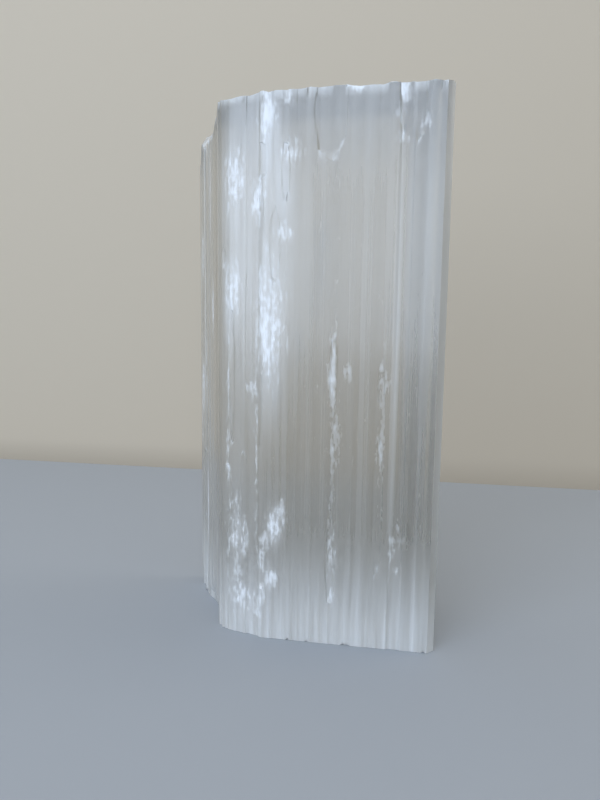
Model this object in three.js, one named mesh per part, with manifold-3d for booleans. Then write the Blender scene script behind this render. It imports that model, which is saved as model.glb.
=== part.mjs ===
// A raw selenite crystal: one upright cleaved prism with a broad front face, a narrow bevel and a slanting
// side face at its left, a stair of cleavage blades at its right, broken ends and a flat foot.
// Millimetres, +Z up along the fibres, the broad face towards -Y, the origin under the middle of the prism.
import * as THREE from "three";
import { mergeVertices } from "three/addons/utils/BufferGeometryUtils.js";
import Module from "manifold-3d";

const wasm = await Module();
wasm.setup();

// Driving dimensions of the prism
const HEIGHT = 181;
const FACE_WIDTH = 58.6;
const BEVEL_WIDTH = 16;
const BEVEL_TURN = THREE.MathUtils.degToRad(16);
const THICKNESS = 47;
const LEFT_LEAN = THREE.MathUtils.degToRad(27);
const RIGHT_LEAN = THREE.MathUtils.degToRad(14);
const EDGE_BEVEL = 2.4;

// Cleavage blades: how wide and how far set back the ledges along each side are
const BLADE_WIDTH = [1.4, 5.2];
const BLADE_SETBACK = [0.05, 0.75];
const STAIR_SETBACK = [0.6, 2.6];
const SLAB_OVERLAP = 0.04;

// Broken top: how far it lies below the full height and slopes down to the left, its waves, and the
// stumps of its fibre bundles
const BREAK_CELL = 2.2;
const BREAK_DROP = 1.2;
const BREAK_SLOPE = THREE.MathUtils.degToRad(1.2);
const WAVE_LENGTH = [11, 7];
const WAVE_RISE = [0.3, 0.3];
const STUMP_SIZE = [3.4, 2.6];
const STUMP_RISE = 1.1;
const GRIT_RISE = 0.4;
const CUT_MARGIN = 10;

// Slivers split off the edges of both ends, and flakes lost from the sides
const SLIVER_WIDTH = [0.6, 2.4];
const SLIVER_DEPTH = [0.3, 0.9];
const TOP_SLIVER_LENGTH = [1.2, 6];
const FOOT_SLIVER_LENGTH = [0.4, 1.2];
const TOP_SLIVERS = 30;
const FOOT_SLIVERS = 16;
const FLAKE_WIDTH = [1.2, 6];
const FLAKE_HEIGHT = [6, 60];
const FLAKE_DEPTH = [0.2, 0.7];
const FLAKES_PER_SIDE = 9;
const FLAKE_CORNERS = 7;
const SEED = 20;

// Numbers that scramble a cell's place into an even spread of heights
const SCRAMBLE_TURNS = [127.1, 311.7];
const SCRAMBLE_SIZE = 43758.5453;

// Points of a mesh nearer than this are one point
const MERGE_GAP = 1e-4;

// Ledges of the front face from left to right: width of each blade and its setback from the face
const FRONT_BLADES = [
  [3.1, 0.06],
  [4.6, 0.2],
  [2.6, 0.02],
  [5.7, 0.14],
  [6.2, 0.05],
  [4.8, 0.11],
  [7.3, 0.04],
  [6.2, 0.13],
  [3.8, 0.45],
  [4.4, 0.18],
  [4.3, 0.06],
];

// Flakes lost from the front face: left edge, foot, width, height and depth of each scar
const FLAKE_SCARS = [
  [16.0, 157.0, 11.0, 30.0, 0.38],
  [46.0, 162.0, 4.4, 22.0, 0.36],
  [42.2, 164.0, 2.4, 26.0, 0.5],
  [6.0, 146.0, 3.0, 18.0, 0.36],
  [2.4, 120.0, 3.6, 24.0, 0.3],
  [22.4, 78.0, 2.6, 26.0, 0.45],
  [37.8, 82.0, 2.4, 12.0, 0.5],
  [37.0, 24.0, 3.4, 48.0, 0.4],
  [21.8, 13.0, 3.2, 34.0, 0.5],
  [44.0, 26.0, 3.2, 17.0, 0.55],
];

// Conchoidal chips at the corners: centre, radii across, through and along, and the turn about Z in degrees
const CORNER_CHIPS = [
  { at: [-31, 24, 184], radii: [11, 30, 15], turn: 27 },
  { at: [-40, 46, 180], radii: [9, 12, 17], turn: 20 },
  { at: [-25.5, 17, -1.5], radii: [6.5, 15, 12.5], turn: 27 },
  { at: [-41, 47, -2], radii: [9, 12, 14], turn: 15 },
  { at: [61.2, -0.6, 3.5], radii: [3.8, 4, 12], turn: 0 },
  { at: [61.6, 1.2, 171], radii: [3.2, 4, 5], turn: 0 },
  { at: [-18.2, 3.2, 156], radii: [3.2, 3, 13], turn: -10 },
  { at: [50, 49, 184], radii: [13, 9, 16], turn: -20 },
  { at: [8, 50.5, 182], radii: [16, 5, 10], turn: 4 },
  { at: [30, 50, -2], radii: [13, 5, 9], turn: -4 },
];

// Small seeded generator, so that every build gives the same crystal
let state = SEED;
function random() {
  state = (state + 0x6d2b79f5) | 0;
  let t = Math.imul(state ^ (state >>> 15), 1 | state);
  t = (t + Math.imul(t ^ (t >>> 7), 61 | t)) ^ t;
  return ((t ^ (t >>> 14)) >>> 0) / 4294967296;
}

function between([low, high]) {
  return low + (high - low) * random();
}

function cellNoise(i, j) {
  const wave = Math.sin(i * SCRAMBLE_TURNS[0] + j * SCRAMBLE_TURNS[1]) * SCRAMBLE_SIZE;
  return wave - Math.floor(wave);
}

// Corners of the cross-section, anticlockwise seen from above, from the left end of the broad face
const faceLeft = new THREE.Vector2(0, 0);
const faceRight = new THREE.Vector2(FACE_WIDTH - EDGE_BEVEL, 0);
const bevelRight = new THREE.Vector2(FACE_WIDTH, EDGE_BEVEL);
const bevelLeft = new THREE.Vector2(-BEVEL_WIDTH * Math.cos(BEVEL_TURN), BEVEL_WIDTH * Math.sin(BEVEL_TURN));
const backRight = new THREE.Vector2(
  FACE_WIDTH - (THICKNESS - EDGE_BEVEL) * Math.tan(RIGHT_LEAN),
  THICKNESS - EDGE_BEVEL,
);
const backLeft = new THREE.Vector2(
  bevelLeft.x - (THICKNESS - bevelLeft.y) * Math.tan(LEFT_LEAN),
  THICKNESS,
);

// Blades that share out an edge of this length: [width, setback] pairs
function bladesAlong(length, setback) {
  const blades = [];
  for (let used = 0; used < length; ) {
    const width = Math.min(between(BLADE_WIDTH), length - used);
    blades.push([width, between(setback)]);
    used += width;
  }
  return blades;
}

// Slabs split off along one edge of the cross-section, each as wide as a blade and as deep as its setback
function splitOff(from, to, blades) {
  const along = to.clone().sub(from);
  const scale = along.length() / blades.reduce((sum, [width]) => sum + width, 0);
  along.normalize();
  let start = 0;
  return blades.map(([width, setback]) => {
    const middle = from.clone().addScaledVector(along, start + (width * scale) / 2);
    start += width * scale;
    const slab = new THREE.BoxGeometry(width * scale + SLAB_OVERLAP, 2 * setback, HEIGHT + CUT_MARGIN);
    slab.rotateZ(along.angle());
    slab.translate(middle.x, middle.y, HEIGHT / 2);
    return solidOf(slab);
  });
}

function cleavageLedges() {
  const split = (from, to, setback) => splitOff(from, to, bladesAlong(from.distanceTo(to), setback));
  return [
    ...splitOff(faceLeft, faceRight, FRONT_BLADES),
    ...split(bevelRight, backRight, STAIR_SETBACK),
    ...split(backRight, backLeft, BLADE_SETBACK),
    ...split(backLeft, bevelLeft, BLADE_SETBACK),
    ...split(bevelLeft, faceLeft, BLADE_SETBACK),
  ];
}

// A closed three.js geometry as a solid
function solidOf(geometry) {
  const bare = geometry.clone();
  bare.deleteAttribute("normal");
  bare.deleteAttribute("uv");
  const merged = mergeVertices(bare, MERGE_GAP);
  return new wasm.Manifold(
    new wasm.Mesh({
      numProp: 3,
      vertProperties: merged.attributes.position.array,
      triVerts: new Uint32Array(merged.index.array),
    }),
  );
}

function geometryOf(solid) {
  const { vertProperties, triVerts } = solid.getMesh();
  const geometry = new THREE.BufferGeometry();
  geometry.setAttribute("position", new THREE.BufferAttribute(vertProperties, 3));
  geometry.setIndex(new THREE.BufferAttribute(triVerts, 1));
  return geometry;
}

// Height of the broken top: a slope, slow waves, stumps of the fibre bundles, and grit
function breakHeight(x, y) {
  const slope = (x - FACE_WIDTH) * Math.tan(BREAK_SLOPE);
  const wave = WAVE_RISE[0] * Math.sin(x / WAVE_LENGTH[0]) + WAVE_RISE[1] * Math.sin(y / WAVE_LENGTH[1]);
  const stump = cellNoise(Math.floor(x / STUMP_SIZE[0]), Math.floor(y / STUMP_SIZE[1])) - 0.5;
  const grit = cellNoise(x, y) - 0.5;
  return HEIGHT - BREAK_DROP + slope + wave + STUMP_RISE * stump + GRIT_RISE * grit;
}

// Block whose rough underside leaves the broken top when it is taken away
function topBreak() {
  const width = FACE_WIDTH - backLeft.x + CUT_MARGIN;
  const depth = THICKNESS + CUT_MARGIN;
  const columns = Math.round(width / BREAK_CELL);
  const rows = Math.round(depth / BREAK_CELL);
  const block = new THREE.BoxGeometry(width, depth, CUT_MARGIN, columns, rows, 1);
  block.translate((FACE_WIDTH + backLeft.x) / 2, THICKNESS / 2, HEIGHT + CUT_MARGIN / 2);
  const position = block.attributes.position;
  for (let i = 0; i < position.count; i++) {
    if (position.getZ(i) < HEIGHT + CUT_MARGIN / 2) {
      position.setZ(i, breakHeight(position.getX(i), position.getY(i)));
    }
  }
  return solidOf(block);
}

function chip(at, radii, turn) {
  const ball = new THREE.IcosahedronGeometry(1, 1);
  ball.scale(...radii);
  ball.rotateZ(THREE.MathUtils.degToRad(turn));
  ball.translate(...at);
  return solidOf(ball);
}

// Pointed sliver missing from an edge, as the fibres split away
function sliver(point, level, length) {
  const splinter = new THREE.OctahedronGeometry(1);
  splinter.scale(between(SLIVER_WIDTH), between(SLIVER_DEPTH), length);
  splinter.rotateZ(random() * Math.PI);
  splinter.translate(point.x, point.y, level);
  return solidOf(splinter);
}

// Slivers scattered along the outline at one end of the prism
function edgeSlivers(corners, level, count, length) {
  const path = new THREE.Path(corners);
  path.closePath();
  return Array.from({ length: count }, () => sliver(path.getPointAt(random()), level, between(length)));
}

// Shallow many-cornered scar of a lost flake on the side that runs from one corner to the next
function flakeScar(from, to, [start, foot, width, height, depth]) {
  const along = to.clone().sub(from).normalize();
  const middle = from.clone().addScaledVector(along, start + width / 2);
  const flake = new THREE.CylinderGeometry(1, 1, 2 * depth, FLAKE_CORNERS);
  flake.rotateY(random() * Math.PI);
  flake.scale(width / 2, 1, height / 2);
  flake.rotateZ(along.angle());
  flake.translate(middle.x, middle.y, foot + height / 2);
  return solidOf(flake);
}

function scatteredScars(from, to) {
  const length = from.distanceTo(to);
  return Array.from({ length: FLAKES_PER_SIDE }, () => {
    const height = between(FLAKE_HEIGHT);
    const foot = random() * (HEIGHT - height);
    const scar = [random() * length, foot, between(FLAKE_WIDTH), height, between(FLAKE_DEPTH)];
    return flakeScar(from, to, scar);
  });
}

function crystalGeometry() {
  const corners = [faceLeft, faceRight, bevelRight, backRight, backLeft, bevelLeft];
  const section = new THREE.Shape(corners);
  const prism = new THREE.ExtrudeGeometry(section, { depth: HEIGHT, bevelEnabled: false });
  const lost = [
    ...cleavageLedges(),
    topBreak(),
    ...FLAKE_SCARS.map((scar) => flakeScar(faceLeft, faceRight, scar)),
    ...scatteredScars(bevelRight, backRight),
    ...scatteredScars(backRight, backLeft),
    ...scatteredScars(backLeft, bevelLeft),
    ...scatteredScars(bevelLeft, faceLeft),
    ...CORNER_CHIPS.map(({ at, radii, turn }) => chip(at, radii, turn)),
    ...edgeSlivers(corners, HEIGHT, TOP_SLIVERS, TOP_SLIVER_LENGTH),
    ...edgeSlivers(corners, 0, FOOT_SLIVERS, FOOT_SLIVER_LENGTH),
  ];
  const left = lost.reduce((solid, piece) => solid.subtract(piece), solidOf(prism));
  // Any crumb that the chips cut loose falls away
  const [whole] = left.decompose().sort((a, b) => b.volume() - a.volume());
  const geometry = geometryOf(whole);
  geometry.computeBoundingBox();
  const { min, max } = geometry.boundingBox;
  return geometry.translate(-(min.x + max.x) / 2, -(min.y + max.y) / 2, -min.z);
}

const selenite = new THREE.MeshStandardMaterial({
  color: 0xdde5ea,
  roughness: 0.3,
  metalness: 0,
  transparent: true,
  opacity: 0.7,
});

const crystal = new THREE.Mesh(crystalGeometry(), selenite);
crystal.name = "selenite_crystal";

const part = new THREE.Group();
part.add(crystal);

export default part;
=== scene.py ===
"""Looks of an upright raw selenite crystal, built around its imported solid."""

import math
import random

import bmesh
import bpy
import numpy as np
from mathutils import Matrix, Vector


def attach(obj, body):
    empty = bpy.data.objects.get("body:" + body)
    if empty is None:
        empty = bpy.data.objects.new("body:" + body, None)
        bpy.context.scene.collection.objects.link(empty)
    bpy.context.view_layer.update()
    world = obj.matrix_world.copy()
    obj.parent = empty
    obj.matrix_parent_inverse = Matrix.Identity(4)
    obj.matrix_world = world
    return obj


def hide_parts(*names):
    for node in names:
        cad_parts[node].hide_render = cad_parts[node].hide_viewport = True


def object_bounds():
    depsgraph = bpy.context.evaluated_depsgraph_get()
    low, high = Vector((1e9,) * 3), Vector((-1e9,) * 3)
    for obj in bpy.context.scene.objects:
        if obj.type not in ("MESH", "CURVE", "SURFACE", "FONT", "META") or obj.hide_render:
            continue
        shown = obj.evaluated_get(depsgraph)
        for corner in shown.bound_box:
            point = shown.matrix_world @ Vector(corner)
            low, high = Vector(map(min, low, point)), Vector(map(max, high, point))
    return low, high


bl_info = {
    "name": "Selenite crystal",
    "version": (1, 0, 0),
    "blender": (4, 5, 0),
    "location": "3D View > Sidebar > Selenite",
    "description": "Builds a fibrous selenite crystal and the stage it stands on",
    "category": "Object",
}

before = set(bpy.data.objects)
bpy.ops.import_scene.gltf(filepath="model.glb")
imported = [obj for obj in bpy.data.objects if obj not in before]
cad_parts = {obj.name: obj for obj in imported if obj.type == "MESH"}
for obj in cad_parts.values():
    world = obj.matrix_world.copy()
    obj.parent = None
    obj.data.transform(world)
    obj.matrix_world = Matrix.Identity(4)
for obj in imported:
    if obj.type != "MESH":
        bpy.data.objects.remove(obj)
CAD_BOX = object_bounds()
NODE = "selenite_crystal"
MM = 0.001
TOP = CAD_BOX[1].z / MM
SEED = 11

# Cutting the skin: gaps in metres, and how far strips and rows may differ from their average
WELD_GAP = 1e-6
CUT_GAP = 1e-7
STRIP_SPREAD = 0.6
ROW_SPREAD = 0.3
# Neighbouring faces that turn less than this become one
FLAT_ANGLE = math.radians(0.2)
# Planes turned this far cut the front, the back and both sides into strips of like width
STRIP_ANGLE = math.radians(60)
# Edges sharper than this stay sharp in the shading
SHARP_ANGLE = math.radians(24)

# Which way a point faces, by the share of its normal along an axis
FACES = 0.6
LEANS = 0.2
SLOPES = 0.3
LIES_FLAT = 0.9

# Seeded bruises of the hidden sides: how many, their sizes in millimetres, and how white they are
BACK_BRUISES = 34
SIDE_BRUISES = 14
BRUISE_WIDTHS = (1, 4)
BRUISE_HEIGHTS = (8, 44)
BRUISE_WHITENESS = (0.5, 0.95)

# A patch has its full strength to a fifth of its size from its middle, and is gone at four fifths
PATCH_PEAK = 1.35
PATCH_FALL = 1.7

# Haze of the rough break, the ledges, the foot, the head of the back and the hidden sides; near the foot
# it is partly a painted glow
BREAK_HAZE = 0.7
LEDGE_HAZE = 0.55
# Partly milky broken fibres and partly painted light: the sides are whitened near the foot as if lit from
# the base
FOOT_HAZE_AND_GLOW = 0.55
FOOT_FACE_HAZE = 0.1
HEAD_HAZE = 0.45
FLANK_HAZE = 0.24
BACK_HAZE = 0.16

# Heights in millimetres, from the nearer end, at which these hazes start or stop
BREAK_REACH = 8
LEDGE_FOOT = 2
FOOT_REACH = 46
FOOT_FACE = 1
HEAD_REACH = 34

# Camera: place in metres, lens and sensor in millimetres, 7 degrees down from level and a little roll
EYE_ACROSS = 34.9 * MM
EYE_BACK = -221.8 * MM
LENS = 28.08
SENSOR = 36
NEAREST = 0.01
TILT = math.radians(90 - 7)
ROLL = math.radians(0.7)

# Stage in metres: the floor lies just under the foot, and the backdrop stands behind its far edge
FLOOR_LEVEL = -0.1 * MM
FLOOR_HALF = 0.9
FLOOR_END = 0.21
BACKDROP_PLACE = 0.31
BACKDROP_HALF = 1.4
BACKDROP_FOOT = -0.6
BACKDROP_TOP = 1.2
STUDIO_LIGHT = "#e9eef4"
STUDIO_STRENGTH = 0.4

# Colour sockets of a Mix node, which share their names with its number and vector sockets
MIX_FROM = 6
MIX_TO = 7
MIX_RESULT = 2

# White bruises seen on the front, the bevel and the slanting side, where fibres have come loose:
# middle across and up, width and height in millimetres, and how white each is
FRONT_BRUISES = [
    # Upper left, down to the middle
    (-21.2, 153.5, 8.0, 19.0, 0.6),
    (-9.6, 172.0, 6.5, 15.0, 0.64),
    (-3.4, 176.5, 4.4, 6.0, 0.7),
    (-12.9, 146.5, 5.4, 14.0, 0.72),
    (-3.7, 135.6, 6.4, 7.0, 0.7),
    (-1.8, 160.5, 7.4, 8.0, 0.66),
    (-21.9, 118.5, 6.2, 22.0, 0.58),
    (-9.0, 108.5, 11.5, 44.0, 0.52),
    (-14.0, 87.0, 6.0, 8.0, 0.55),
    # Upper right corner
    (18.0, 179.0, 9.0, 4.0, 0.7),
    (32.5, 176.5, 3.4, 9.0, 0.85),
    (31.0, 170.5, 2.4, 7.0, 0.68),
    (32.3, 164.0, 3.8, 4.0, 0.66),
    (39.0, 168.0, 4.4, 6.0, 0.56),
    # Column down the middle
    (12.0, 91.0, 2.8, 24.0, 0.8),
    (13.9, 70.0, 2.6, 20.0, 0.52),
    (12.6, 32.0, 3.8, 18.0, 0.58),
    (13.2, 17.5, 2.2, 6.5, 0.6),
    (16.8, 92.0, 2.6, 4.5, 0.7),
    # Column at the right
    (28.7, 88.0, 4.0, 5.0, 0.8),
    (28.0, 69.0, 3.0, 17.0, 0.55),
    (32.5, 34.5, 4.2, 20.0, 0.5),
    (35.8, 37.8, 2.8, 3.6, 0.55),
    # Flecks of the lower left
    (-9.6, 35.0, 5.0, 9.0, 0.7),
    (-6.8, 39.5, 5.2, 10.0, 0.78),
    (-4.4, 44.5, 3.8, 10.0, 0.74),
    (-21.5, 34.0, 5.0, 9.0, 0.6),
    (-17.2, 38.0, 4.0, 8.0, 0.56),
    (-17.5, 31.0, 4.0, 5.0, 0.74),
    (-11.0, 27.0, 4.0, 5.0, 0.74),
    (-7.5, 21.5, 5.4, 7.0, 0.72),
    (-11.0, 16.0, 4.0, 9.0, 0.56),
    (-20.0, 24.0, 4.0, 8.0, 0.54),
    (-21.0, 42.0, 5.0, 24.0, 0.48),
    (-19.0, 14.0, 7.0, 14.0, 0.55),
    (-12.5, 11.0, 5.0, 12.0, 0.5),
    # Long thin lines
    (-23.4, 57.0, 2.0, 110.0, 0.5),
    (12.8, 60.0, 2.2, 130.0, 0.36),
    (28.5, 74.0, 2.4, 66.0, 0.34),
    (-13.0, 70.0, 2.2, 96.0, 0.42),
    # Far edge of the slanting side
    (-43.6, 83.0, 3.4, 22.0, 0.75),
    (-43.8, 133.0, 2.6, 24.0, 0.6),
]

# Broad hazy zones of the same sides, given in the same way
FRONT_HAZE = [
    # Upper left, down to the middle
    (-14.0, 142.0, 26.0, 120.0, 0.36),
    (-21.5, 148.0, 10.0, 54.0, 0.42),
    (-21.9, 118.0, 8.0, 40.0, 0.46),
    (-9.5, 165.0, 9.0, 38.0, 0.52),
    (-9.0, 112.0, 10.0, 64.0, 0.52),
    (-6.0, 150.0, 10.0, 34.0, 0.46),
    # Veils down the left, the slanting side and the right
    (-20.0, 70.0, 14.0, 150.0, 0.13),
    (-37.0, 90.0, 16.0, 400.0, 0.16),
    (40.0, 158.0, 17.0, 120.0, 0.14),
    (31.8, 118.0, 1.7, 150.0, 0.34),
    # Top edge
    (10.0, 180.0, 120.0, 42.0, 0.17),
    # Lower left
    (-14.0, 30.0, 22.0, 60.0, 0.1),
    (-6.6, 39.0, 6.0, 15.0, 0.34),
    (-19.5, 33.0, 8.0, 22.0, 0.3),
    (-8.5, 19.0, 8.0, 18.0, 0.4),
]


def linear(code):
    """Linear colour of an sRGB hex code."""
    parts = [int(code[i : i + 2], 16) / 255 for i in (1, 3, 5)]
    return [c / 12.92 if c <= 0.04045 else ((c + 0.055) / 1.055) ** 2.4 for c in parts]


def length(name, description, millimetres):
    """A length property given in millimetres."""
    return bpy.props.FloatProperty(
        name=name, description=description, default=millimetres * MM, precision=5, unit="LENGTH"
    )


def colour(name, description, code):
    """A colour property given as an sRGB hex code."""
    return bpy.props.FloatVectorProperty(
        name=name, description=description, default=linear(code), min=0, max=1, subtype="COLOR"
    )


class CrystalSettings(bpy.types.PropertyGroup):
    """Sizes and colours of the crystal's skin."""

    strip: length("Strip", "Average width of the strips that the front is cut into", 0.5)
    row: length("Row", "Average height of the rows that the skin is cut into", 3.0)
    blade_width: length("Blade width", "Width of a bundle of fibres", 3.2)
    blade_depth: length("Blade depth", "Height of the relief of the bundles", 0.04)
    # Real fibres are too fine to show, so these are drawn coarser
    fibre_width: length("Fibre width", "Width of one fibre", 0.8)
    fibre_length: length("Fibre length", "Length over which a fibre keeps its shape", 140.0)
    fibre_depth: length("Fibre depth", "Height of the relief of the fibres", 0.02)
    softening: bpy.props.IntProperty(
        name="Softening",
        description="How many times the ledges of the sides are worn down",
        default=4,
        min=0,
    )
    clear: colour("Clear", "Body of the clear crystal", "#e4e1d8")
    bruise: colour("Bruise", "Loose white fibres", "#f4f6f6")
    tint: colour("Tint", "Light left after a long way through the crystal", "#c6beb0")


class StageSettings(bpy.types.PropertyGroup):
    """Colours of the stage and place of the camera."""

    floor: colour("Floor", "Plain floor", "#aeb3b8")
    backdrop: colour("Backdrop", "Plain backdrop", "#cbbfab")
    eye_height: length("Eye height", "Height of the camera above the floor", 107.5)
    azimuth: bpy.props.FloatProperty(
        name="Azimuth",
        description="Turn of the camera about the upright",
        default=math.radians(9.5),
        subtype="ANGLE",
    )


def add_node(tree, kind, inputs=None, output=0, **settings):
    """Adds one node with its settings, values and links, and gives one of its outputs."""
    node = tree.nodes.new(kind)
    for name, value in settings.items():
        setattr(node, name, value)
    for name, value in (inputs or {}).items():
        if isinstance(value, bpy.types.NodeSocket):
            tree.links.new(value, node.inputs[name])
        else:
            node.inputs[name].default_value = value
    return node.outputs[output] if node.outputs else None


def streaks(tree, width, reach, detail, roughness):
    """Pattern drawn out along the fibres, with its width and its reach along them in millimetres."""
    place = add_node(tree, "ShaderNodeTexCoord", output="Object")
    scale = (1 / (width * MM), 1 / (width * MM), 1 / (reach * MM))
    along = add_node(tree, "ShaderNodeVectorMath", {0: place, 1: scale}, operation="MULTIPLY")
    inputs = {"Vector": along, "Scale": 1.0, "Detail": detail, "Roughness": roughness}
    return add_node(tree, "ShaderNodeTexNoise", inputs, "Fac")


def loose_fibres(tree):
    """Whiteness of the bruises, frayed into threads and small flakes."""
    bruise = add_node(tree, "ShaderNodeAttribute", output="Fac", attribute_name="bruise")
    drawn_out = streaks(tree, width=0.7, reach=12.0, detail=4.0, roughness=0.7)
    threads = add_node(
        tree,
        "ShaderNodeMapRange",
        {"Value": drawn_out, "From Min": 0.3, "From Max": 0.7, "To Max": 0.5},
    )
    short = streaks(tree, width=1.0, reach=2.6, detail=3.0, roughness=0.6)
    flakes = add_node(
        tree,
        "ShaderNodeMapRange",
        {"Value": short, "From Min": 0.35, "From Max": 0.65, "To Max": 0.5},
    )
    fray = add_node(tree, "ShaderNodeMath", {0: threads, 1: flakes}, operation="ADD")
    frayed = add_node(tree, "ShaderNodeMath", {0: bruise, 1: fray}, operation="ADD")
    return add_node(
        tree,
        "ShaderNodeMapRange",
        {"Value": frayed, "From Min": 0.85, "From Max": 1.55, "To Max": 0.75},
    )


def milky_veils_and_glow(tree):
    """Whiteness of the hazy zones, of the painted glow near the foot and of the veils that run the whole
    length of the fibres.
    """
    # The stored haze includes a painted glow that whitens the sides near the foot
    haze_and_glow = add_node(tree, "ShaderNodeAttribute", output="Fac", attribute_name="haze_and_glow")
    cloudy = streaks(tree, width=1.6, reach=45.0, detail=6.0, roughness=0.66)
    uneven = add_node(
        tree,
        "ShaderNodeMapRange",
        {"Value": cloudy, "From Min": 0.34, "From Max": 0.66, "To Min": 0.74, "To Max": 1.24},
    )
    wide = streaks(tree, width=2.6, reach=500.0, detail=3.0, roughness=0.55)
    veils = add_node(
        tree,
        "ShaderNodeMapRange",
        {"Value": wide, "From Min": 0.36, "From Max": 0.68, "To Max": 0.08},
    )
    narrow = streaks(tree, width=1.1, reach=300.0, detail=4.0, roughness=0.7)
    threads = add_node(
        tree,
        "ShaderNodeMapRange",
        {"Value": narrow, "From Min": 0.4, "From Max": 0.74, "To Max": 0.1},
    )
    lines = add_node(tree, "ShaderNodeMath", {0: veils, 1: threads}, operation="ADD")
    return add_node(tree, "ShaderNodeMath", {0: haze_and_glow, 1: uneven, 2: lines}, operation="MULTIPLY_ADD")


def selenite_material(settings):
    """Cleaved selenite, the clear and fibrous form of gypsum."""
    # Cleavage gives a satin, pearly skin over a see-through body, with silky lines along the fibres
    material = bpy.data.materials.new("selenite, cleaved fibrous gypsum")
    material.use_nodes = True
    tree = material.node_tree
    tree.nodes.clear()
    # Whiteness of loose fibres and haze, which near the foot is partly a painted glow
    white = add_node(
        tree,
        "ShaderNodeMath",
        {0: loose_fibres(tree), 1: milky_veils_and_glow(tree)},
        operation="ADD",
        use_clamp=True,
    )
    body = add_node(
        tree,
        "ShaderNodeMix",
        {"Factor": white, MIX_FROM: [*settings.clear, 1], MIX_TO: [*settings.bruise, 1]},
        MIX_RESULT,
        data_type="RGBA",
    )
    # Loose fibres scatter what would pass through clear crystal, and are duller
    roughness = add_node(tree, "ShaderNodeMapRange", {"Value": white, "To Min": 0.25, "To Max": 0.5})
    clearness = add_node(tree, "ShaderNodeMapRange", {"Value": white, "To Min": 0.95, "To Max": 0.1})
    # Single fibres are finer than a pixel, so the ridges are drawn about a millimetre wide
    ridges = streaks(tree, width=1.2, reach=300.0, detail=6.0, roughness=0.66)
    bump = add_node(tree, "ShaderNodeBump", {"Strength": 1.0, "Distance": 0.1 * MM, "Height": ridges})
    surface = add_node(
        tree,
        "ShaderNodeBsdfPrincipled",
        {
            "Base Color": body,
            "IOR": 1.52,
            "Roughness": roughness,
            "Transmission Weight": clearness,
            "Coat Weight": 0.5,
            "Coat Roughness": 0.15,
            "Normal": bump,
        },
    )
    inside = add_node(
        tree, "ShaderNodeVolumeAbsorption", {"Color": [*settings.tint, 1], "Density": 7.0}
    )
    add_node(tree, "ShaderNodeOutputMaterial", {"Surface": surface, "Volume": inside})
    return material


def cut(skin, normal, step, spread):
    """Cuts the skin with planes across a direction, a step apart on average."""
    draw = random.Random(SEED)
    places = [v.co.dot(normal) for v in skin.verts]
    at = min(places) + step / 2
    while at < max(places):
        parts = skin.verts[:] + skin.edges[:] + skin.faces[:]
        bmesh.ops.bisect_plane(skin, geom=parts, dist=CUT_GAP, plane_co=normal * at, plane_no=normal)
        at += step * draw.uniform(1 - spread, 1 + spread)


def sliced_skin(settings):
    """Copy of the solid's skin, cut into strips along the fibres and into rows across them."""
    skin = bmesh.new()
    skin.from_mesh(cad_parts[NODE].data)
    bmesh.ops.remove_doubles(skin, verts=skin.verts[:], dist=WELD_GAP)
    bmesh.ops.dissolve_limit(skin, angle_limit=FLAT_ANGLE, verts=skin.verts[:], edges=skin.edges[:])
    slant = Vector((math.cos(STRIP_ANGLE), math.sin(STRIP_ANGLE), 0))
    cut(skin, slant, settings.strip * math.cos(STRIP_ANGLE), STRIP_SPREAD)
    cut(skin, Vector((0, 0, 1)), settings.row, ROW_SPREAD)
    mesh = bpy.data.meshes.new("selenite")
    skin.to_mesh(mesh)
    skin.free()
    return mesh


def relief(tree, given, width, depth):
    """Height of ridges drawn out along the fibres."""
    place = add_node(tree, "GeometryNodeInputPosition")
    size = {"X": width, "Y": width, "Z": given["Fibre Length"]}
    stretch = add_node(tree, "ShaderNodeCombineXYZ", size)
    along = add_node(tree, "ShaderNodeVectorMath", {0: place, 1: stretch}, operation="DIVIDE")
    noise = add_node(
        tree,
        "ShaderNodeTexNoise",
        {"Vector": along, "W": given["Seed"], "Scale": 1.0, "Detail": 2.0},
        "Fac",
        noise_dimensions="4D",
    )
    # The pattern lies about one half, and the ridges about the skin
    centred = add_node(tree, "ShaderNodeMath", {0: noise, 1: 0.5}, operation="SUBTRACT")
    return add_node(tree, "ShaderNodeMath", {0: centred, 1: depth}, operation="MULTIPLY")


def worn_ledges(tree, given):
    """Move of each point that wears the sides' ledges soft, while both ends keep their edges."""
    place = add_node(tree, "GeometryNodeInputPosition")
    normal = add_node(tree, "GeometryNodeInputNormal")
    tilt = add_node(tree, "ShaderNodeSeparateXYZ", {0: normal}, "Z")
    slope = add_node(tree, "ShaderNodeMath", {0: tilt}, operation="ABSOLUTE")
    side = add_node(tree, "ShaderNodeMath", {0: slope, 1: SLOPES}, operation="LESS_THAN")
    worn = add_node(
        tree,
        "GeometryNodeBlurAttribute",
        {"Value": place, "Iterations": given["Softening"], "Weight": side},
        "Value",
        data_type="FLOAT_VECTOR",
    )
    return add_node(tree, "ShaderNodeVectorMath", {0: worn, 1: place}, operation="SUBTRACT")


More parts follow.
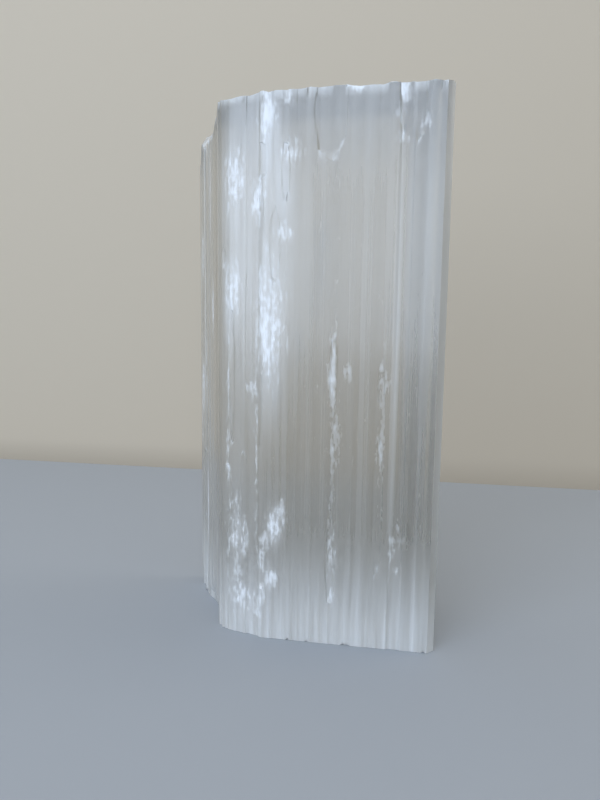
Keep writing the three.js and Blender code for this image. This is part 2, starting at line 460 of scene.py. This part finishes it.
def relief_tree():
    """Geometry Nodes: fibres and bundles of fibres raised out of the sides."""
    tree = bpy.data.node_groups.new("fibre relief", "GeometryNodeTree")
    socket = tree.interface.new_socket
    socket("Geometry", in_out="INPUT", socket_type="NodeSocketGeometry")
    for name in ("Blade Width", "Blade Depth", "Fibre Width", "Fibre Depth", "Fibre Length", "Seed"):
        socket(name, in_out="INPUT", socket_type="NodeSocketFloat")
    socket("Softening", in_out="INPUT", socket_type="NodeSocketInt")
    socket("Material", in_out="INPUT", socket_type="NodeSocketMaterial")
    socket("Geometry", in_out="OUTPUT", socket_type="NodeSocketGeometry")
    given = add_node(tree, "NodeGroupInput").node.outputs
    blades = relief(tree, given, given["Blade Width"], given["Blade Depth"])
    fibres = relief(tree, given, given["Fibre Width"], given["Fibre Depth"])
    height = add_node(tree, "ShaderNodeMath", {0: blades, 1: fibres}, operation="ADD")
    normal = add_node(tree, "GeometryNodeInputNormal")
    raised = add_node(tree, "ShaderNodeVectorMath", {0: normal, "Scale": height}, operation="SCALE")
    wear = worn_ledges(tree, given)
    moves = add_node(tree, "ShaderNodeVectorMath", {0: wear, 1: raised}, operation="ADD")
    # Points move level only, so that the foot stays flat
    level = add_node(tree, "ShaderNodeVectorMath", {0: moves, 1: (1, 1, 0)}, operation="MULTIPLY")
    skin = add_node(tree, "GeometryNodeSetPosition", {"Geometry": given["Geometry"], "Offset": level})
    real = add_node(tree, "GeometryNodeRealizeInstances", {"Geometry": skin})
    finish = {"Geometry": real, "Material": given["Material"]}
    dressed = add_node(tree, "GeometryNodeSetMaterial", finish)
    add_node(tree, "NodeGroupOutput", {"Geometry": dressed})
    return tree


def with_relief(crystal, settings, material):
    """Plain mesh of the crystal with its relief."""
    tree = relief_tree()
    modifier = crystal.modifiers.new("fibre relief", "NODES")
    modifier.node_group = tree
    values = {
        "Blade Width": settings.blade_width,
        "Blade Depth": settings.blade_depth,
        "Fibre Width": settings.fibre_width,
        "Fibre Depth": settings.fibre_depth,
        "Fibre Length": settings.fibre_length,
        "Seed": float(SEED),
        "Softening": settings.softening,
        "Material": material,
    }
    for item in tree.interface.items_tree:
        if item.in_out == "INPUT" and item.name in values:
            modifier[item.identifier] = values[item.name]
    bpy.context.view_layer.update()
    evaluated = crystal.evaluated_get(bpy.context.evaluated_depsgraph_get())
    mesh = bpy.data.meshes.new_from_object(evaluated)
    crystal.modifiers.remove(modifier)
    return mesh


def scattered_bruises(count, span, draw):
    """Seeded bruises for a side that the picture doesn't show."""
    spans = (span, (0, TOP), BRUISE_WIDTHS, BRUISE_HEIGHTS, BRUISE_WHITENESS)
    return [[draw.uniform(*limits) for limits in spans] for _ in range(count)]


def patches(across, up, marks):
    """Strength of marks at points given by their place across and up a side, in millimetres."""
    strength = np.zeros(len(across))
    for middle, level, width, height, whiteness in marks:
        far = np.hypot((across - middle) / width, (up - level) / height)
        strength = np.maximum(strength, whiteness * np.clip(PATCH_PEAK - PATCH_FALL * far, 0, 1))
    return strength


def fading(share):
    """Smooth fall from 1 to 0 as a share goes from 0 to 1."""
    share = np.clip(share, 0, 1)
    return 1 - share * share * (3 - 2 * share)


def bruises(points, normals):
    """Whiteness of loose fibres: the picture's own marks on the front, seeded ones elsewhere."""
    draw = random.Random(SEED)
    x, y, z = points.T
    low, high = CAD_BOX[0] / MM, CAD_BOX[1] / MM
    front = patches(x, z, FRONT_BRUISES)
    back = patches(x, z, scattered_bruises(BACK_BRUISES, (low.x, high.x), draw))
    sides = patches(y, z, scattered_bruises(SIDE_BRUISES, (low.y, high.y), draw))
    elsewhere = np.where(normals[:, 1] > FACES, back, sides)
    bruise = np.where(normals[:, 1] < -LEANS, front, elsewhere)
    # The slanting side at the left has the front's marks and the sides' too
    return np.where(normals[:, 0] < -FACES, np.maximum(bruise, sides), bruise)


def hazes_and_foot_glow(points, normals):
    """Milkiness of the broken ends and ledges, of the front's hazy zones and of the hidden sides, with a
    painted glow near the foot.
    """
    x, _, z = points.T
    slope = np.abs(normals[:, 2])
    flat = slope > LIES_FLAT
    ledges = np.where((slope > SLOPES) & (z > LEDGE_FOOT), LEDGE_HAZE, 0.0)
    broken = np.where(flat & (z > TOP - BREAK_REACH), BREAK_HAZE, ledges)
    # Whiter towards the foot: partly milky broken fibres, partly painted light scattered up from the base
    foot = FOOT_HAZE_AND_GLOW * fading(z / FOOT_REACH)
    foot = np.where(flat & (z < FOOT_FACE), FOOT_FACE_HAZE, foot)
    head = HEAD_HAZE * fading((TOP - z) / HEAD_REACH) * (normals[:, 1] > LEANS)
    front = patches(x, z, FRONT_HAZE) * (normals[:, 1] < -LEANS)
    back = np.where(normals[:, 1] > FACES, BACK_HAZE, 0.0)
    hidden = np.where(normals[:, 0] > FACES, FLANK_HAZE, back)
    return np.maximum.reduce([broken, foot, head, front, hidden])


def store(mesh, name, values):
    """Stores one value for each point of the mesh."""
    attribute = mesh.attributes.new(name, "FLOAT", "POINT")
    attribute.data.foreach_set("value", values.astype(np.float32))


def paint_whiteness(mesh):
    """Stores where the fibres are loose, where they are hazy, and where painted light whitens the sides
    near the foot.
    """
    points = np.array([v.co for v in mesh.vertices]) / MM
    normals = np.array([v.normal for v in mesh.vertices])
    store(mesh, "bruise", bruises(points, normals))
    # The haze holds real milkiness and the painted glow near the foot
    store(mesh, "haze_and_glow", hazes_and_foot_glow(points, normals))


def smooth(mesh):
    """Smooth shading that keeps the sharp edges."""
    mesh.polygons.foreach_set("use_smooth", [True] * len(mesh.polygons))
    mesh.set_sharp_from_angle(angle=SHARP_ANGLE)


class SELENITE_OT_crystal(bpy.types.Operator):
    """Build the fibrous crystal over its solid"""

    bl_idname = "selenite.crystal"
    bl_label = "Crystal"

    def execute(self, context):
        settings = context.scene.selenite_crystal
        material = selenite_material(settings)
        crystal = bpy.data.objects.new("selenite", sliced_skin(settings))
        context.scene.collection.objects.link(crystal)
        crystal.data = with_relief(crystal, settings, material)
        paint_whiteness(crystal.data)
        smooth(crystal.data)
        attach(crystal, "root")
        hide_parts(NODE)
        return {"FINISHED"}


def sheet(name, corners, tone):
    """A flat four-cornered sheet of the stage."""
    mesh = bpy.data.meshes.new(name)
    mesh.from_pydata([Vector(c) for c in corners], [], [(0, 1, 2, 3)])
    # Matt paper: one even tone with hardly any gloss
    material = bpy.data.materials.new(name + ", matt paper")
    material.use_nodes = True
    shader = material.node_tree.nodes["Principled BSDF"]
    shader.inputs["Base Color"].default_value = [*tone, 1]
    shader.inputs["Roughness"].default_value = 0.9
    mesh.materials.append(material)
    made = bpy.data.objects.new(name, mesh)
    bpy.context.scene.collection.objects.link(made)


def floor_and_backdrop(settings):
    """The two sheets that the crystal is seen against."""
    floor = [
        (-FLOOR_HALF, -FLOOR_HALF, FLOOR_LEVEL),
        (FLOOR_HALF, -FLOOR_HALF, FLOOR_LEVEL),
        (FLOOR_HALF, FLOOR_END, FLOOR_LEVEL),
        (-FLOOR_HALF, FLOOR_END, FLOOR_LEVEL),
    ]
    backdrop = [
        (-BACKDROP_HALF, BACKDROP_PLACE, BACKDROP_FOOT),
        (BACKDROP_HALF, BACKDROP_PLACE, BACKDROP_FOOT),
        (BACKDROP_HALF, BACKDROP_PLACE, BACKDROP_TOP),
        (-BACKDROP_HALF, BACKDROP_PLACE, BACKDROP_TOP),
    ]
    sheet("floor", floor, settings.floor)
    sheet("backdrop", backdrop, settings.backdrop)


def softbox(name, place, target, size, power, code):
    """A large soft light that faces a point, with its place and size in metres and its power in watts."""
    data = bpy.data.lights.new(name, "AREA")
    data.shape = "RECTANGLE"
    data.size, data.size_y = size
    data.energy = power
    data.color = linear(code)
    light = bpy.data.objects.new(name, data)
    light.location = place
    light.rotation_euler = (Vector(target) - Vector(place)).to_track_quat("-Z", "Y").to_euler()
    bpy.context.scene.collection.objects.link(light)
    return light


def studio_lights():
    """Two cool boxes in front, a warm one above and a small one at the right, a little behind."""
    window = softbox(
        "window",
        place=(-0.45, -1.0, 0.225),
        target=(-0.45, 0, 0.225),
        size=(1.6, 0.35),
        power=6.2,
        code="#d9e8fc",
    )
    # The low box shows in the gloss but not through the crystal, whose back it would blow out
    window.visible_transmission = False
    softbox(
        "sky",
        place=(-0.45, -1.0, 0.85),
        target=(-0.45, 0, 0.85),
        size=(1.6, 0.9),
        power=10.2,
        code="#cfe2ff",
    )
    softbox(
        "top",
        place=(-0.15, 0.0, 1.1),
        target=(-0.1, 0.1, 0),
        size=(1.2, 1.2),
        power=3,
        code="#fffaf2",
    )
    softbox(
        "fill",
        place=(0.7, 0.24, 0.5),
        target=(0, 0, 0.09),
        size=(0.5, 0.5),
        power=1.3,
        code="#f8f4ee",
    )


def soft_world():
    """Even pale light from all around."""
    world = bpy.data.worlds.new("soft studio light")
    world.use_nodes = True
    background = world.node_tree.nodes["Background"]
    background.inputs["Color"].default_value = [*linear(STUDIO_LIGHT), 1]
    background.inputs["Strength"].default_value = STUDIO_STRENGTH
    bpy.context.scene.world = world


def photo_camera(settings):
    """Camera at the picture's viewing angle: close, and a little above the crystal's middle."""
    data = bpy.data.cameras.new("camera")
    data.lens = LENS
    data.sensor_width = SENSOR
    data.clip_start = NEAREST
    camera = bpy.data.objects.new("camera", data)
    turn = Matrix.Rotation(settings.azimuth, 4, "Z")
    pitch = Matrix.Rotation(TILT, 4, "X")
    roll = Matrix.Rotation(ROLL, 4, "Z")
    place = Matrix.Translation((EYE_ACROSS, EYE_BACK, settings.eye_height))
    camera.matrix_world = place @ turn @ pitch @ roll
    bpy.context.scene.collection.objects.link(camera)
    bpy.context.scene.camera = camera


class SELENITE_OT_stage(bpy.types.Operator):
    """Build the floor, the backdrop, the lights and the camera"""

    bl_idname = "selenite.stage"
    bl_label = "Stage"

    def execute(self, context):
        settings = context.scene.selenite_stage
        floor_and_backdrop(settings)
        studio_lights()
        soft_world()
        photo_camera(settings)
        context.scene.view_settings.view_transform = "Standard"
        return {"FINISHED"}


class SELENITE_PT_panel(bpy.types.Panel):
    """Sizes, colours and steps of the crystal"""

    bl_label = "Selenite crystal"
    bl_idname = "SELENITE_PT_panel"
    bl_space_type = "VIEW_3D"
    bl_region_type = "UI"
    bl_category = "Selenite"

    def draw(self, context):
        for group in (context.scene.selenite_crystal, context.scene.selenite_stage):
            box = self.layout.box()
            for name in group.bl_rna.properties.keys():
                if name not in {"rna_type", "name"}:
                    box.prop(group, name)
        self.layout.operator("selenite.crystal")
        self.layout.operator("selenite.stage")


CLASSES = (
    CrystalSettings,
    StageSettings,
    SELENITE_OT_crystal,
    SELENITE_OT_stage,
    SELENITE_PT_panel,
)


def register():
    for cls in CLASSES:
        bpy.utils.register_class(cls)
    bpy.types.Scene.selenite_crystal = bpy.props.PointerProperty(type=CrystalSettings)
    bpy.types.Scene.selenite_stage = bpy.props.PointerProperty(type=StageSettings)


def unregister():
    del bpy.types.Scene.selenite_stage
    del bpy.types.Scene.selenite_crystal
    for cls in reversed(CLASSES):
        bpy.utils.unregister_class(cls)


def main():
    register()
    bpy.ops.selenite.crystal()
    bpy.ops.selenite.stage()


if __name__ == "__main__":
    main()
